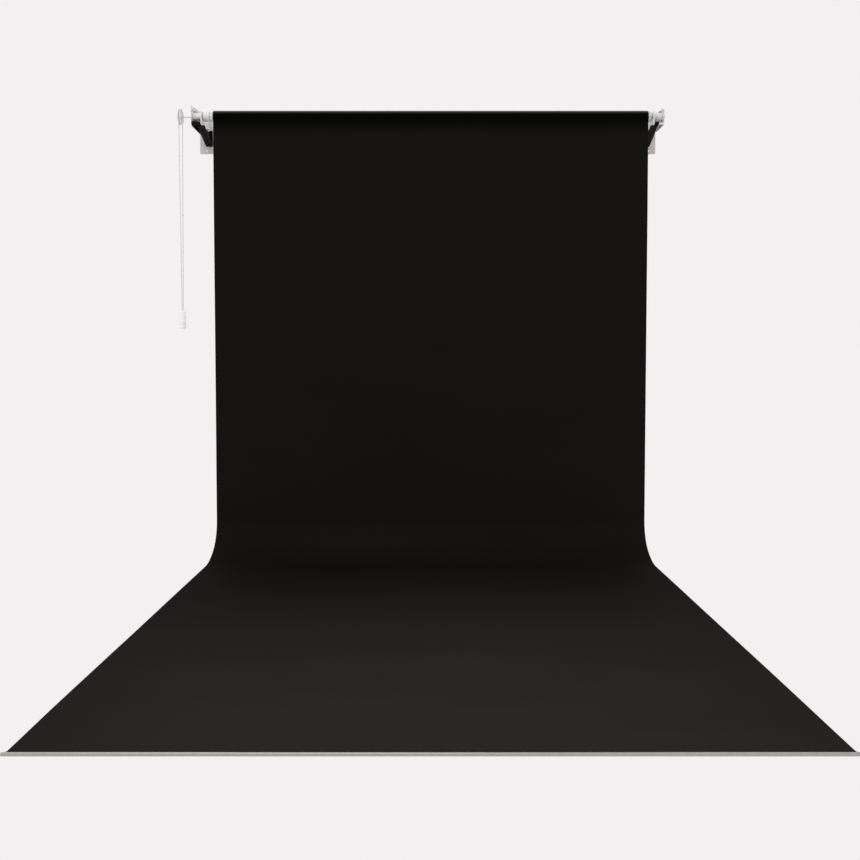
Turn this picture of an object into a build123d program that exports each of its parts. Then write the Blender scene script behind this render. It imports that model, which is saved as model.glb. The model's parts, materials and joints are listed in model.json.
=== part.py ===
from build123d import *
from math import asin, degrees, hypot, pi, radians, sin
import os

# Wall-mounted backdrop paper roll with a chain drive.
# Frame: +X along the roll, away from the chain; +Y into the wall; +Z up. The origin is on the wall
# face, at the centre of the four wall screws. Lengths are in millimetres.

# ---- Driving dimensions -------------------------------------------------------------------------

FLOOR_Z = -2706.0  # the floor, under the middle of the wall screws
WALL_TO_AXIS = 185.0
AXIS_Z = 65.0
AXIS_Y = -WALL_TO_AXIS

PAPER_WIDTH = 2720.0
PAPER_X = 19.0  # the paper's middle: the drive bracket stands further from it than the idle one
PAPER_T = 0.4
FLOOR_RUN = 3052.0  # from the hanging paper to the rail, along the floor

CORE_R, CORE_BORE_R = 30.0, 26.0
CORE_OVERHANG = 4.0
WOUND_R = 36.5
WRAP_R = 36.8  # the turn that the hanging paper comes off
WRAP_ARC = 330.0
SWEEP_UPPER_R, SWEEP_UPPER_ARC = 200.0, 60.0
SWEEP_LOWER_R, SWEEP_LOWER_ARC = 450.0, 30.0

RAIL_R, RAIL_WALL, RAIL_SLOT = 6.5, 1.5, 1.6
RAIL_PAST = 0.5  # the rail's tube, past the paper at each end
CAP_T, CAP_PLUG = 2.0, 14.0
LIFT_R = 60.0  # the paper rises off the floor into the rail's slot
SPLINE_R = 4.8
SLIT_T = 0.44

PLATE_T = 3.0
PLATE_WIDTH = 85.0
PLATE_LOW, PLATE_HIGH = -128.0, 142.0
BRACKET_OUT = 1475.0  # the outer cheek's outer face, from the middle of the wall screws
CHEEK_IN = 1411.0  # the inner cheek's inner face
CHEEK_FRONT = -243.0
CHEEK_TOPS = {"left": (125.0, 141.0), "right": (95.0, 134.0)}  # outer cheek: in front, at the wall
INNER_TOP = 90.0
SCREW_SPACING_Z = 214.0
SCREW_HOLE_R = 4.5

TRAY_LOW, TRAY_HIGH, TRAY_SKIN = 4.0, 24.0, 3.0
TRAY_OUT = {"left": BRACKET_OUT - PLATE_T, "right": 1442.0}  # its outer side
CHEEK_LOWS = {"left": (-2.0, -2.0, -2.0), "right": (4.0, 6.0, 20.0)}  # in front, middle, at the wall
WEB_X = 1415.0  # the web stands under the inner cheek, nearest the load
WEB_T, FOOT_LOW = 12.0, -74.0
STRIP_WIDTH, STRIP_T = 44.0, 6.0
PAD_TOP = 20.0
PAD_T = 6.0

AXLE_R = 8.0
BLOCK_NECK_R, BLOCK_R = 20.0, 26.0
BUSH_R = 11.0
RUNNING = 0.08

FLANGE_R, FLANGE_T = 36.0, 6.0
KNOB_T, KNOB_R, KNOB_LOBES = 14.0, 30.0, 8
SPACER_R = 30.0
STEM_R, RAMP_R, RAMP_SLOPE = 11.5, 18.5, 0.3
MANDREL_TRAVEL = 8.0
JAW_TRAVEL = RAMP_SLOPE * MANDREL_TRAVEL
JAW_R, JAW_ARC, JAW_COUNT = 25.7, 98.0, 3
GAP = 0.3  # between pieces that move past each other

BEAD_R, BEAD_PITCH = 3.0, 8.0
SPROCKET_BEADS = 36
CHAIN_R = SPROCKET_BEADS * BEAD_PITCH / (2 * pi)
SPROCKET_X, SPROCKET_HALF, SPROCKET_R = -1553.0, 8.0, 50.0
CHAIN_DROP = 1215.0
CHAIN_END_R = 14.0
WEIGHT_R, WEIGHT_HEIGHT = 22.0, 112.0

LATCH_PIVOT = (-121.0, 102.0)
LATCH_T, LATCH_PIN_R, LATCH_R, LATCH_LOW = 3.0, 3.0, 8.0, 95.0
LATCH_STOP = (-226.0, 91.7)
LATCH_TOPS = {"left": ((-208.0, 124.0), (-146.0, 130.0)), "right": ((-208.0, 106.0), (-146.0, 109.0))}

# ---- Worked-out places --------------------------------------------------------------------------

ROLL_PLANE = Plane(origin=(0, AXIS_Y, AXIS_Z), x_dir=(1, 0, 0), z_dir=(0, -1, 0))
ROLL_AXIS = Axis(origin=(0, AXIS_Y, AXIS_Z), direction=(1, 0, 0))
SIDES = {"left": -1, "right": 1}
PAPER_END = {"left": PAPER_X - PAPER_WIDTH / 2, "right": PAPER_X + PAPER_WIDTH / 2}
CORE_END = {side: PAPER_END[side] + way * CORE_OVERHANG for side, way in SIDES.items()}
PLATE_MID = BRACKET_OUT - PLATE_WIDTH / 2
ARM_MID = (BRACKET_OUT + CHEEK_IN) / 2  # midway between the cheeks
RAIL_Z = FLOOR_Z + RAIL_R
RAIL_Y = AXIS_Y - WRAP_R - FLOOR_RUN


os.makedirs("parts", exist_ok=True)


def save(part, name):
    """Labels a finished piece and writes it as the node of that name."""
    part.label = name
    export_step(part, f"parts/{name}.step")


def turned(*corners):
    """A solid turned about the roll's axis, from its (x, radius) corners."""
    with BuildPart() as piece:
        with BuildSketch(ROLL_PLANE):
            with BuildLine():
                Polyline(*corners, close=True)
            make_face()
        revolve(axis=ROLL_AXIS)
    return piece


def across(x, y=0.0, z=0.0):
    """A plane square to X at x, with its origin over (y, z): its own x is +Y and its own y is +Z."""
    return Plane(origin=(x, y, z), x_dir=(0, 1, 0), z_dir=(1, 0, 0))


# ---- Paper and core -----------------------------------------------------------------------------


def make_paper_sheet():
    """The paper that has left the roll: its outermost turn, the drop, the sweep and the floor run."""
    sweep_drop = (
        SWEEP_UPPER_R * sin(radians(SWEEP_UPPER_ARC))
        + SWEEP_LOWER_R * (1 - sin(radians(SWEEP_UPPER_ARC)))
    )
    lift = RAIL_R - PAPER_T / 2
    lift_arc = degrees(2 * asin((lift / (4 * LIFT_R)) ** 0.5))
    lift_run = 2 * LIFT_R * sin(radians(lift_arc))
    with BuildPart() as sheet:
        with BuildSketch(across(PAPER_END["left"])):
            with BuildLine():
                wrap = CenterArc((AXIS_Y, AXIS_Z), WRAP_R, 180 - WRAP_ARC, WRAP_ARC)
                drop = Line(wrap @ 1, (AXIS_Y - WRAP_R, FLOOR_Z + sweep_drop))
                upper = JernArc(drop @ 1, drop % 1, SWEEP_UPPER_R, -SWEEP_UPPER_ARC)
                lower = JernArc(upper @ 1, upper % 1, SWEEP_LOWER_R, -SWEEP_LOWER_ARC)
                run = Line(lower @ 1, (RAIL_Y + RAIL_R + lift_run, FLOOR_Z))
                rise = JernArc(run @ 1, run % 1, LIFT_R, -lift_arc)
                level = JernArc(rise @ 1, rise % 1, LIFT_R, lift_arc)
                Line(level @ 1, (RAIL_Y, (level @ 1).Y))
                offset(amount=PAPER_T, side=Side.LEFT)
            make_face()
        extrude(amount=PAPER_WIDTH)
    save(sheet.part, "paper_sheet")


def make_roll():
    """The turns of paper still on the roll, and the cardboard core that they are wound on."""
    with BuildPart() as wound:
        with BuildSketch(across(PAPER_END["left"], AXIS_Y, AXIS_Z)):
            Circle(WOUND_R)
            Circle(CORE_R, mode=Mode.SUBTRACT)
        extrude(amount=PAPER_WIDTH)
    save(wound.part, "paper_wound")

    with BuildPart() as core:
        with BuildSketch(across(CORE_END["left"], AXIS_Y, AXIS_Z)):
            Circle(CORE_R)
            Circle(CORE_BORE_R, mode=Mode.SUBTRACT)
        extrude(amount=CORE_END["right"] - CORE_END["left"])
        chamfer(core.edges().filter_by(GeomType.CIRCLE), 0.8)
    save(core.part, "core_tube")


# ---- Bottom rail --------------------------------------------------------------------------------


def make_bottom_rail():
    """A slotted tube on the paper's free edge, the split rod that locks the edge in, and two caps."""
    left = PAPER_END["left"] - RAIL_PAST
    right = PAPER_END["right"] + RAIL_PAST
    bore_r = RAIL_R - RAIL_WALL
    with BuildPart() as rail:
        with BuildSketch(across(left, RAIL_Y, RAIL_Z)):
            Circle(RAIL_R)
            Circle(bore_r, mode=Mode.SUBTRACT)
            with Locations((RAIL_R, 0)):
                Rectangle(2 * (RAIL_R - bore_r) + 1, RAIL_SLOT, mode=Mode.SUBTRACT)
        extrude(amount=right - left)
    save(rail.part, "bottom_rail")

    with BuildPart() as spline:
        with BuildSketch(across(left + CAP_PLUG + 1, RAIL_Y, RAIL_Z)):
            Circle(SPLINE_R)
            with Locations((SPLINE_R, 0)):
                Rectangle(2 * SPLINE_R, SLIT_T, mode=Mode.SUBTRACT)
        extrude(amount=right - left - 2 * CAP_PLUG - 2)
    save(spline.part, "rail_spline")

    with BuildPart() as caps:
        for end, way in ((left, -1), (right, 1)):
            with BuildSketch(across(end, RAIL_Y, RAIL_Z)):
                Circle(RAIL_R)
            extrude(amount=way * CAP_T)
            with BuildSketch(across(end, RAIL_Y, RAIL_Z)):
                Circle(bore_r)
                with Locations((bore_r, 0)):
                    Rectangle(2 * bore_r, SLIT_T, mode=Mode.SUBTRACT)
            extrude(amount=-way * CAP_PLUG)
        fillet(caps.edges().filter_by(GeomType.CIRCLE).group_by(Axis.X)[0], 1.2)
        fillet(caps.edges().filter_by(GeomType.CIRCLE).group_by(Axis.X)[-1], 1.2)
    save(caps.part, "rail_end_caps")


# ---- Wall brackets ------------------------------------------------------------------------------

BOLT_Y = (-70.0, -224.0)  # the two bolts across each bracket
BOLT_Z = (TRAY_LOW + TRAY_HIGH) / 2
BOLT_R, BOLT_CLEAR = 3.0, 0.1
SPACER_TUBE_R = 6.0
PAD_SCREW_Z, PAD_SCREW_OUT, PAD_SCREW_R, PAD_SCREW_HEAD_R = -62.0, 14.0, 2.5, 4.8
SLOT_R = BLOCK_NECK_R + 0.15


def cheek(x, way, tops, lows, back):
    """A side plate, from x inwards along way, with a U slot for the bearing block."""
    top_front, top_back = tops
    low_front, low_middle, low_back = lows

    def top(y):
        return top_front + (top_back - top_front) * (1 - y / CHEEK_FRONT)

    before = [
        (back, low_back),
        (-40, low_middle),
        (CHEEK_FRONT + 14, low_front),
        (CHEEK_FRONT, TRAY_LOW + 8),
        (CHEEK_FRONT, top_front - 2),
        (CHEEK_FRONT + 2, top(CHEEK_FRONT + 2)),
        (AXIS_Y - SLOT_R, top(AXIS_Y - SLOT_R)),
        (AXIS_Y - SLOT_R, AXIS_Z),
    ]
    after = [
        (AXIS_Y + SLOT_R, AXIS_Z),
        (AXIS_Y + SLOT_R, top(AXIS_Y + SLOT_R)),
        (back, top_back),
    ]
    with BuildPart() as plate:
        with BuildSketch(across(x)):
            with BuildLine():
                Polyline(*before)
                ThreePointArc(before[-1], (AXIS_Y, AXIS_Z - SLOT_R), after[0])
                Polyline(*after, before[0])
            make_face()
            with Locations(*[(y, BOLT_Z) for y in BOLT_Y]):
                Circle(BOLT_R + BOLT_CLEAR, mode=Mode.SUBTRACT)
        extrude(amount=way * PLATE_T)
    return plate.part


def make_wall_plate(side, way):
    """Folded steel: the flange that is screwed to the wall, and the outer cheek."""
    with BuildPart() as plate:
        with BuildSketch(Plane.XZ):
            with Locations((way * PLATE_MID, (PLATE_LOW + PLATE_HIGH) / 2)):
                RectangleRounded(PLATE_WIDTH, PLATE_HIGH - PLATE_LOW, 6)
            with Locations(*[(way * PLATE_MID, end * SCREW_SPACING_Z / 2) for end in (-1, 1)]):
                Circle(SCREW_HOLE_R, mode=Mode.SUBTRACT)
        extrude(amount=PLATE_T)
        add(cheek(way * BRACKET_OUT, -way, CHEEK_TOPS[side], CHEEK_LOWS[side], -PLATE_T / 2))
        gap = BRACKET_OUT - PLATE_T - TRAY_OUT[side]
        if gap > 0:  # welded spacers carry the cross bolts to the tray
            with BuildSketch(across(way * (BRACKET_OUT - PLATE_T))):
                with Locations(*[(y, BOLT_Z) for y in BOLT_Y]):
                    Circle(SPACER_TUBE_R)
                    Circle(BOLT_R + BOLT_CLEAR, mode=Mode.SUBTRACT)
            extrude(amount=-way * gap)
        with BuildSketch(across(way * BRACKET_OUT)):
            with Locations(LATCH_PIVOT, LATCH_STOP):
                Circle(LATCH_PIN_R + 0.02)
        extrude(amount=-way * PLATE_T, mode=Mode.SUBTRACT)
        with Locations(
            *[
                Location((way * WEB_X + out, 0, PAD_SCREW_Z), (-90, 0, 0))
                for out in (-PAD_SCREW_OUT, PAD_SCREW_OUT)
            ]
        ):
            CounterSinkHole(PAD_SCREW_R + 0.1, PAD_SCREW_HEAD_R + 0.1, depth=12)
    save(plate.part, f"{side}_wall_plate")


def make_inner_cheek(side, way):
    """Its lower edge stands on the arm's web in front and rises towards the wall."""
    lows = (TRAY_LOW, TRAY_LOW + 4, TRAY_HIGH)
    inner = cheek(way * CHEEK_IN, way, (INNER_TOP, INNER_TOP), lows, -PLATE_T)
    save(inner, f"{side}_inner_cheek")


def make_arm(side, way):
    """The black casting under the cheeks: a tray, a triangular web, its flange and a wall pad."""
    inside = TRAY_OUT[side] - CHEEK_IN - PLATE_T
    tray_mid = (TRAY_OUT[side] + CHEEK_IN + PLATE_T) / 2
    front = CHEEK_FRONT + 2
    with BuildPart() as arm:
        with BuildSketch(across(way * tray_mid)):
            with BuildLine():
                Polyline(
                    (-PLATE_T, TRAY_LOW),
                    (front + 12, TRAY_LOW),
                    (front, TRAY_LOW + 8),
                    (front, TRAY_HIGH),
                    (-PLATE_T, TRAY_HIGH),
                    close=True,
                )
            make_face()
        extrude(amount=inside / 2, both=True)
        # A long hollow under the tray, outboard of the web.
        near = WEB_X + WEB_T / 2
        far = TRAY_OUT[side] - TRAY_SKIN
        with BuildSketch(Plane.XY.offset(TRAY_LOW)):
            with Locations((way * (near + far) / 2, (front + 14 - PLATE_T - PAD_T) / 2)):
                RectangleRounded(far - near, -front - 14 - PLATE_T - PAD_T, 4)
        extrude(amount=TRAY_HIGH - TRAY_LOW - TRAY_SKIN, mode=Mode.SUBTRACT)
        # Bosses that carry the cross bolts through the hollow.
        with BuildSketch(across(way * tray_mid)):
            for y in BOLT_Y:
                with Locations((y, (TRAY_LOW + TRAY_HIGH) / 2)):
                    Rectangle(14, TRAY_HIGH - TRAY_LOW)
        extrude(amount=inside / 2, both=True)
        # The web, and the flange along its lower edge.
        toe = (front + 16, TRAY_LOW)
        heel = (-PLATE_T, FOOT_LOW)
        slope = hypot(toe[0] - heel[0], toe[1] - heel[1])
        with BuildSketch(across(way * WEB_X)):
            with BuildLine():
                Polyline(heel, toe, (-PLATE_T, TRAY_LOW), close=True)
            make_face()
        extrude(amount=WEB_T / 2, both=True)
        under = (-STRIP_T * (toe[1] - heel[1]) / slope, STRIP_T * (toe[0] - heel[0]) / slope)
        pad_low = FOOT_LOW - 1.1 * STRIP_T
        with BuildSketch(across(way * WEB_X)):
            with BuildLine():
                Polyline(
                    heel,
                    toe,
                    (toe[0] + under[0], toe[1] + under[1]),
                    (-PLATE_T, pad_low),
                    close=True,
                )
            make_face()
        extrude(amount=STRIP_WIDTH / 2, both=True)
        with BuildSketch(Plane.XZ.offset(PLATE_T)):
            with Locations((way * WEB_X, (pad_low + PAD_TOP) / 2)):
                Rectangle(STRIP_WIDTH, PAD_TOP - pad_low)
        extrude(amount=PAD_T)
        with BuildSketch(across(way * ARM_MID)):
            with Locations(*[(y, BOLT_Z) for y in BOLT_Y]):
                Circle(BOLT_R + BOLT_CLEAR)
        extrude(amount=PLATE_WIDTH, both=True, mode=Mode.SUBTRACT)
        with BuildSketch(Plane.XZ):
            with Locations(
                *[(way * WEB_X + out, PAD_SCREW_Z) for out in (-PAD_SCREW_OUT, PAD_SCREW_OUT)]
            ):
                Circle(PAD_SCREW_R)
        extrude(amount=PLATE_T + PAD_T, mode=Mode.SUBTRACT)
    save(arm.part, f"{side}_arm")


def make_latch(side, way):
    """The keeper across the outer cheek's slot, its rubber pad, its rivet and the rivet it rests on."""
    face = way * (BRACKET_OUT - PLATE_T)  # the cheek's inner face
    near, far = face - way * GAP, face - way * (GAP + LATCH_T)
    pivot_y, pivot_z = LATCH_PIVOT
    stop_y, stop_z = LATCH_STOP
    with BuildPart() as latch:
        with BuildSketch(across(near)):
            with Locations(LATCH_PIVOT):
                Circle(LATCH_R)
            with Locations((stop_y + 2, LATCH_LOW + 7)):
                Circle(7)
            with BuildLine():
                Polyline(
                    (pivot_y, pivot_z + LATCH_R),
                    (pivot_y, LATCH_LOW),
                    (stop_y + 2, LATCH_LOW),
                    (stop_y + 2, LATCH_LOW + 10),
                    *LATCH_TOPS[side],
                    close=True,
                )
            make_face()
            with Locations(LATCH_PIVOT):
                Circle(LATCH_PIN_R + RUNNING, mode=Mode.SUBTRACT)
        extrude(amount=-way * LATCH_T)
        # A folded thumb tab on the free end.
        with BuildSketch(across(far)):
            with Locations((stop_y + 2, LATCH_LOW + 6.5)):
                RectangleRounded(12, 2.4, 1)
        extrude(amount=-way * 9)
    save(latch.part, f"{side}_latch")

    pad_low = AXIS_Z + BLOCK_R + 0.5
    with BuildPart() as pad:
        with BuildSketch(Plane.XY.offset(pad_low)):
            with Locations((far - way * 6, AXIS_Y)):
                Rectangle(18, 24)
        extrude(amount=LATCH_LOW - pad_low)
        with BuildSketch(Plane.XY.offset(LATCH_LOW)):
            with Locations((far - way * 7.5, AXIS_Y)):
                Rectangle(15, 24)
        extrude(amount=6)
        fillet(pad.edges().filter_by(Axis.X).group_by(Axis.Z)[0], 2)
    save(pad.part, f"{side}_latch_pad")

    with BuildPart() as rivets:
        reach = far - way * GAP
        for y, z in (LATCH_PIVOT, LATCH_STOP):
            with BuildSketch(across(way * BRACKET_OUT, y, z)):
                Circle(4.5)
            extrude(amount=way * 2.2, taper=20)
            with BuildSketch(across(way * BRACKET_OUT, y, z)):
                Circle(LATCH_PIN_R)
            extrude(amount=reach - way * BRACKET_OUT)
            with BuildSketch(across(reach, y, z)):
                Circle(5.0 if z > LATCH_LOW else LATCH_PIN_R)
            extrude(amount=-way * 1.8, taper=15)
    save(rivets.part, f"{side}_latch_rivets")


def make_bracket_fasteners():
    """Two bolts with nuts across each bracket, and two countersunk screws from wall plate to arm."""
    with BuildPart() as bolts:
        for way in SIDES.values():
            for y in BOLT_Y:
                with BuildSketch(across(way * (CHEEK_IN - 9), y, BOLT_Z)):
                    Circle(BOLT_R)
                extrude(amount=way * (BRACKET_OUT - CHEEK_IN + 9))
                with BuildSketch(across(way * BRACKET_OUT, y, BOLT_Z)):
                    Circle(5.8)
                extrude(amount=way * 3.4, taper=14)
                with BuildSketch(across(way * (BRACKET_OUT + 3.4), y, BOLT_Z)):
                    RegularPolygon(2.3, 6)
                extrude(amount=-way * 2.2, mode=Mode.SUBTRACT)
    save(bolts.part, "bracket_bolts")

    with BuildPart() as nuts:
        for way in SIDES.values():
            for y in BOLT_Y:
                with BuildSketch(across(way * CHEEK_IN, y, BOLT_Z)):
                    Circle(6.2)
                    Circle(BOLT_R, mode=Mode.SUBTRACT)
                extrude(amount=-way * 1.2)
                with BuildSketch(across(way * (CHEEK_IN - 1.2), y, BOLT_Z)):
                    RegularPolygon(5.77, 6)
                    Circle(BOLT_R, mode=Mode.SUBTRACT)
                extrude(amount=-way * 5)
    save(nuts.part, "bracket_nuts")

    with BuildPart() as screws:
        for way in SIDES.values():
            for out in (-PAD_SCREW_OUT, PAD_SCREW_OUT):
                place = (way * WEB_X + out, PAD_SCREW_Z)
                with BuildSketch(Plane.XZ.offset(0.1)):
                    with Locations(place):
                        Circle(PAD_SCREW_R)
                extrude(amount=PLATE_T + PAD_T - 0.2)
                with BuildSketch(Plane.XZ.offset(0.1)):
                    with Locations(place):
                        Circle(PAD_SCREW_HEAD_R)
                extrude(amount=PAD_SCREW_HEAD_R - PAD_SCREW_R, taper=45)
                with BuildSketch(Plane.XZ.offset(0.1)):
                    with Locations(place):
                        Rectangle(6, 1.1)
                        Rectangle(1.1, 6)
                extrude(amount=1.2, mode=Mode.SUBTRACT)
    save(screws.part, "arm_screws")


# ---- Bearings -----------------------------------------------------------------------------------


def make_bearing(side, way):
    """The block that sits in the two cheeks' slots, and the bush that the axle turns in."""
    neck_in, neck_out = way * (CHEEK_IN - 2), way * (BRACKET_OUT + 3)
    body_in, body_out = way * (CHEEK_IN + PLATE_T), way * (BRACKET_OUT - PLATE_T)
    groove = 3.0
    block = turned(
        (neck_in, BUSH_R),
        (neck_in, BLOCK_NECK_R - 1),
        (neck_in + way, BLOCK_NECK_R),
        (body_in, BLOCK_NECK_R),
        (body_in, BLOCK_R - 2),
        (body_in + way * 2, BLOCK_R),
        (way * (ARM_MID - 10), BLOCK_R),
        (way * (ARM_MID - 9), BLOCK_R - groove),
        (way * (ARM_MID + 9), BLOCK_R - groove),
        (way * (ARM_MID + 10), BLOCK_R),
        (body_out - way * 2, BLOCK_R),
        (body_out, BLOCK_R - 2),
        (body_out, BLOCK_NECK_R),
        (neck_out - way, BLOCK_NECK_R),
        (neck_out, BLOCK_NECK_R - 1),
        (neck_out, BUSH_R),
    )
    save(block.part, f"{side}_bearing_block")
    bush = turned(
        (neck_in, AXLE_R + RUNNING),
        (neck_in, BUSH_R),
        (neck_out, BUSH_R),
        (neck_out, BUSH_R + 3),
        (neck_out + way * 2, BUSH_R + 3),
        (neck_out + way * 2, AXLE_R + RUNNING),
    )
    save(bush.part, f"{side}_bush")


# ---- Expanders in the core's ends ---------------------------------------------------------------

DISC_IN, DISC_T, DISC_R = -119.5, 4.5, 24.5
JAW_IN, JAW_OUT = -118.0, -1.0
RAMPS = (-100.0, -50.0)  # the inner end of each ramp
RAMP_RUN = (RAMP_R - STEM_R) / RAMP_SLOPE
STEM_OUT = FLANGE_T + GAP + KNOB_T + 1.0
BAND_AT, BAND_R, BAND_GROOVE = (-92.0, -18.0), 1.5, 4.6


def make_expander(side, way):
    """What grips the core: three jaws that a ramped mandrel spreads as the knob draws it outwards."""

    def at(s):
        return CORE_END[side] + way * s

    flange = turned(
        (at(0), STEM_R + RUNNING),
        (at(0), FLANGE_R - 1.5),
        (at(1.5), FLANGE_R),
        (at(FLANGE_T - 1.5), FLANGE_R),
        (at(FLANGE_T), FLANGE_R - 1.5),
        (at(FLANGE_T), KNOB_R + 4),
        (at(FLANGE_T - 2), KNOB_R + 3),
        (at(FLANGE_T - 2), KNOB_R + 1),
        (at(FLANGE_T), KNOB_R),
        (at(FLANGE_T), STEM_R + RUNNING),
    )
    save(flange.part, f"{side}_flange")

    with BuildPart() as knob:
        with BuildSketch(across(at(FLANGE_T + GAP), AXIS_Y, AXIS_Z)):
            Circle(KNOB_R - 3)
            with PolarLocations(KNOB_R - 7, KNOB_LOBES):
                Circle(7)
            Circle(STEM_R + RUNNING, mode=Mode.SUBTRACT)
        extrude(amount=way * KNOB_T)
        outer_rim = knob.edges().group_by(Axis.X)[-1 if way > 0 else 0]
        chamfer(outer_rim.filter_by(lambda e: e.radius > 6 and e.radius < 40), 1.2)
    save(knob.part, f"{side}_knob")

    corners = [(at(RAMPS[0]), AXLE_R + RUNNING)]
    for start in RAMPS:
        corners += [(at(start), RAMP_R), (at(start + RAMP_RUN), STEM_R)]
        if start != RAMPS[-1]:
            corners.append((at(RAMPS[1]), STEM_R))
    corners += [
        (at(STEM_OUT - 1), STEM_R),
        (at(STEM_OUT), STEM_R - 1),
        (at(STEM_OUT), AXLE_R + RUNNING),
    ]
    mandrel = turned(*corners)
    save(mandrel.part, f"{side}_mandrel")

    # A jaw's inner face: a ramp of its own over each of the mandrel's, and room for it to close.
    low = STEM_R + JAW_TRAVEL + 0.35
    high = RAMP_R + JAW_TRAVEL + 0.6
    ramp_top = RAMP_R + GAP * hypot(1, RAMP_SLOPE)
    ramp_run = (ramp_top - low) / RAMP_SLOPE
    inner = []
    for start, back in ((RAMPS[0], JAW_IN), (RAMPS[1], RAMPS[1] - MANDREL_TRAVEL - 0.5)):
        inner += [
            (at(back), high),
            (at(start), high),
            (at(start), ramp_top),
            (at(start + ramp_run), low),
        ]
        if back == JAW_IN:
            inner.append((at(RAMPS[1] - MANDREL_TRAVEL - 0.5), low))
    inner.append((at(JAW_OUT), low))
    outer = [(at(JAW_OUT), JAW_R)]
    for middle in sorted(BAND_AT, reverse=True):
        half = BAND_GROOVE / 2
        groove_r = JAW_R - 2 * BAND_R - GAP
        outer += [
            (at(middle + half), JAW_R),
            (at(middle + half), groove_r),
            (at(middle - half), groove_r),
            (at(middle - half), JAW_R),
        ]
    outer.append((at(JAW_IN), JAW_R))
    with BuildPart() as jaw:
        with BuildSketch(ROLL_PLANE):
            with BuildLine():
                Polyline(*inner, *outer, close=True)
            make_face()
        revolve(axis=ROLL_AXIS, revolution_arc=JAW_ARC)
    first = jaw.part.rotate(ROLL_AXIS, -JAW_ARC / 2)
    for i in range(JAW_COUNT):
        save(first.rotate(ROLL_AXIS, i * 360 / JAW_COUNT), f"{side}_jaw_{i + 1}")

    with BuildPart() as bands:
        for middle in BAND_AT:
            with BuildSketch(ROLL_PLANE):
                with Locations((at(middle), JAW_R - BAND_R - GAP / 2)):
                    Circle(BAND_R)
            revolve(axis=ROLL_AXIS)
    save(bands.part, f"{side}_jaw_bands")

    disc = turned(
        (at(DISC_IN), AXLE_R),
        (at(DISC_IN), DISC_R),
        (at(DISC_IN - DISC_T + 1), DISC_R),
        (at(DISC_IN - DISC_T), DISC_R - 1),
        (at(DISC_IN - DISC_T), AXLE_R),
    )
    save(disc.part, f"{side}_end_disc")

    with BuildPart() as nut:
        with BuildSketch(across(at(DISC_IN - DISC_T), AXIS_Y, AXIS_Z)):
            RegularPolygon(13.8, 6)
            Circle(AXLE_R, mode=Mode.SUBTRACT)
        extrude(amount=-way * 9)
    save(nut.part, f"{side}_axle_nut")

    collar_in = way * (BRACKET_OUT + 5.5)
    collar = turned(
        (collar_in, AXLE_R),
        (collar_in, 13),
        (collar_in + way, 14),
        (collar_in + way * 8, 14),
        (collar_in + way * 9, 13),
        (collar_in + way * 9, AXLE_R),
    )
    save(collar.part, f"{side}_axle_collar")


def make_axles():
    """The right axle ends at its collar. The left one runs on to the sprocket and its nut."""
    inner = {side: CORE_END[side] + way * (DISC_IN - DISC_T - 11) for side, way in SIDES.items()}
    right_end = BRACKET_OUT + 16
    right = turned(
        (inner["right"], 0),
        (inner["right"], AXLE_R - 1),
        (inner["right"] + 1, AXLE_R),
        (right_end - 1, AXLE_R),
        (right_end, AXLE_R - 1),
        (right_end, 0),
    )
    save(right.part, "right_axle")
    neck = -(BRACKET_OUT + 16)
    neck_r = 5.5
    shoulder = SPROCKET_X + 9.0
    stub_r, stub_end = 5.0, SPROCKET_X - 21.0
    left = turned(
        (inner["left"], 0),
        (inner["left"], AXLE_R - 1),
        (inner["left"] - 1, AXLE_R),
        (neck, AXLE_R),
        (neck, neck_r),
        (shoulder + 3, neck_r),
        (shoulder + 3, AXLE_R),
        (shoulder, AXLE_R),
        (shoulder, stub_r),
        (stub_end + 1, stub_r),
        (stub_end, stub_r - 1),
        (stub_end, 0),
    )
    save(left.part, "left_axle")
    spacer_in = CORE_END["left"] - (FLANGE_T + GAP + KNOB_T + 2.2)
    spacer_out = -(CHEEK_IN - 4.0)
    spacer = turned(
        (spacer_in, AXLE_R),
        (spacer_in, SPACER_R - 2),
        (spacer_in - 2, SPACER_R),
        (spacer_in - 5, SPACER_R),
        (spacer_in - 6, SPACER_R - 1),
        (spacer_out + 6, SPACER_R - 1),
        (spacer_out + 5, SPACER_R),
        (spacer_out + 2, SPACER_R),
        (spacer_out, SPACER_R - 2),
        (spacer_out, AXLE_R),
    )
    save(spacer.part, "left_spacer")


# ---- Chain drive --------------------------------------------------------------------------------


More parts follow.
